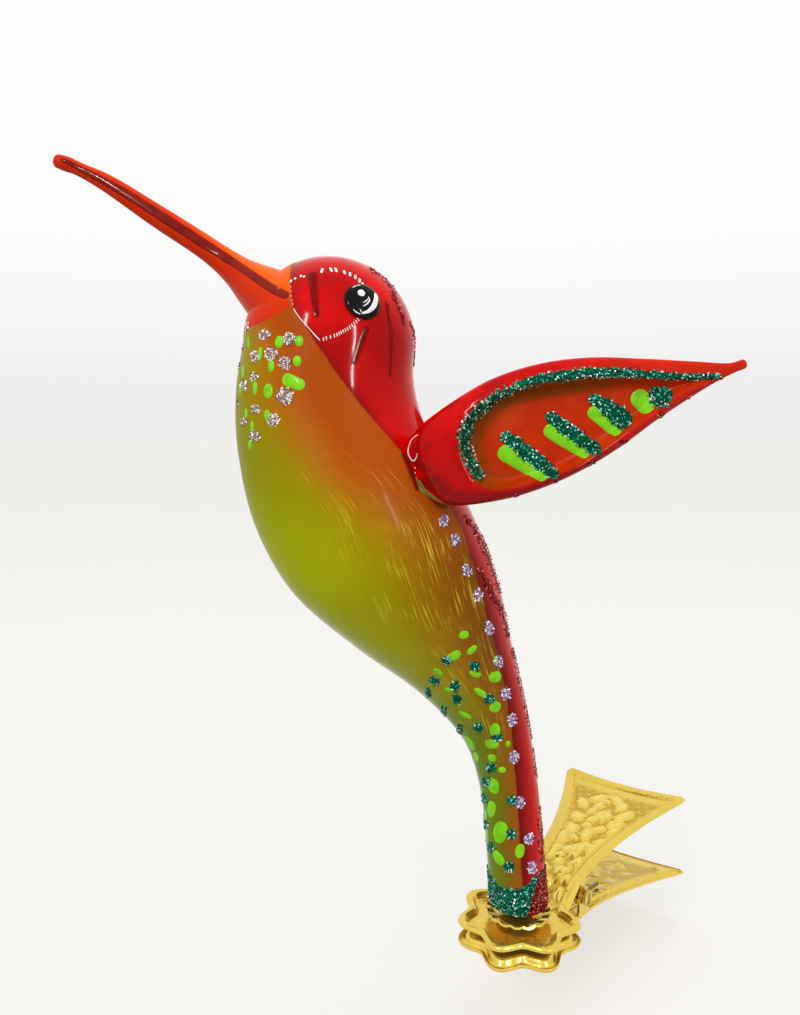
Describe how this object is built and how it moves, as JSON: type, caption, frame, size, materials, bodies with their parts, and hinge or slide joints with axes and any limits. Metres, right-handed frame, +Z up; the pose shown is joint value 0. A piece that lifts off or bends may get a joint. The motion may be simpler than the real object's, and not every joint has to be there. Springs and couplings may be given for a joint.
{
  "type": "clip-on bird ornament",
  "caption": "Blown-glass hummingbird ornament on a hinged brass spring clip with flower-shaped jaws and fishtail handles.",
  "frame": {"origin": "centre of the upper jaw's flat underside, on the axis of the bird's tail tube", "axes": "+Z up along the tail tube, -X towards the beak, -Y towards the bird's left wing"},
  "size_m": [0.1316, 0.0748, 0.1564],
  "materials": {
    "red_glass": "glossy lacquer, red back and green to orange belly",
    "beak_glass": "satin orange paint",
    "eye_enamel": "glossy black enamel",
    "brass": "stamped, slightly tarnished",
    "steel": "dark spring wire",
    "copper": "dark copper colour"
  },
  "bodies": {
    "upper_jaw": {"upper_clip_half": "brass", "hinge_pin": "steel", "seat_rivet": "copper", "torsion_spring": "steel"},
    "lower_jaw": {"lower_clip_half": "brass"},
    "seat": {"seat_crown": "brass"},
    "coil": {"anchor_spring": "copper"},
    "bird": {"bird_body": "red_glass", "beak": "beak_glass", "left_wing": "red_glass", "right_wing": "red_glass", "left_eye": "eye_enamel", "right_eye": "eye_enamel"}
  },
  "joints": [
    {"name": "jaw_pivot", "type": "hinge", "parent": "upper_jaw", "child": "lower_jaw", "pos_m": [0.01004, 0.01309, -0.00015], "axis": [0.7934, -0.6088, 0], "range_deg": [-2.5, 20], "stiffness_Nm_per_rad": 0.07, "springref_deg": -57.3, "deforming": ["torsion_spring"]},
    {"name": "bird_swivel", "type": "hinge", "parent": "upper_jaw", "child": "seat", "pos_m": [0, 0, 0], "axis": [0, 0, 1], "continuous": true},
    {"name": "bird_nod", "type": "hinge", "parent": "seat", "child": "coil", "pos_m": [0, 0, 0.0032], "axis": [0, 1, 0], "range_deg": [-4, 4], "stiffness_Nm_per_rad": 0.6, "springref_deg": 0.78, "deforming": ["anchor_spring"]},
    {"name": "bird_sway", "type": "hinge", "parent": "coil", "child": "bird", "pos_m": [0, 0, 0.0032], "axis": [1, 0, 0], "range_deg": [-4, 4], "stiffness_Nm_per_rad": 0.6, "deforming": ["anchor_spring"]}
  ]
}
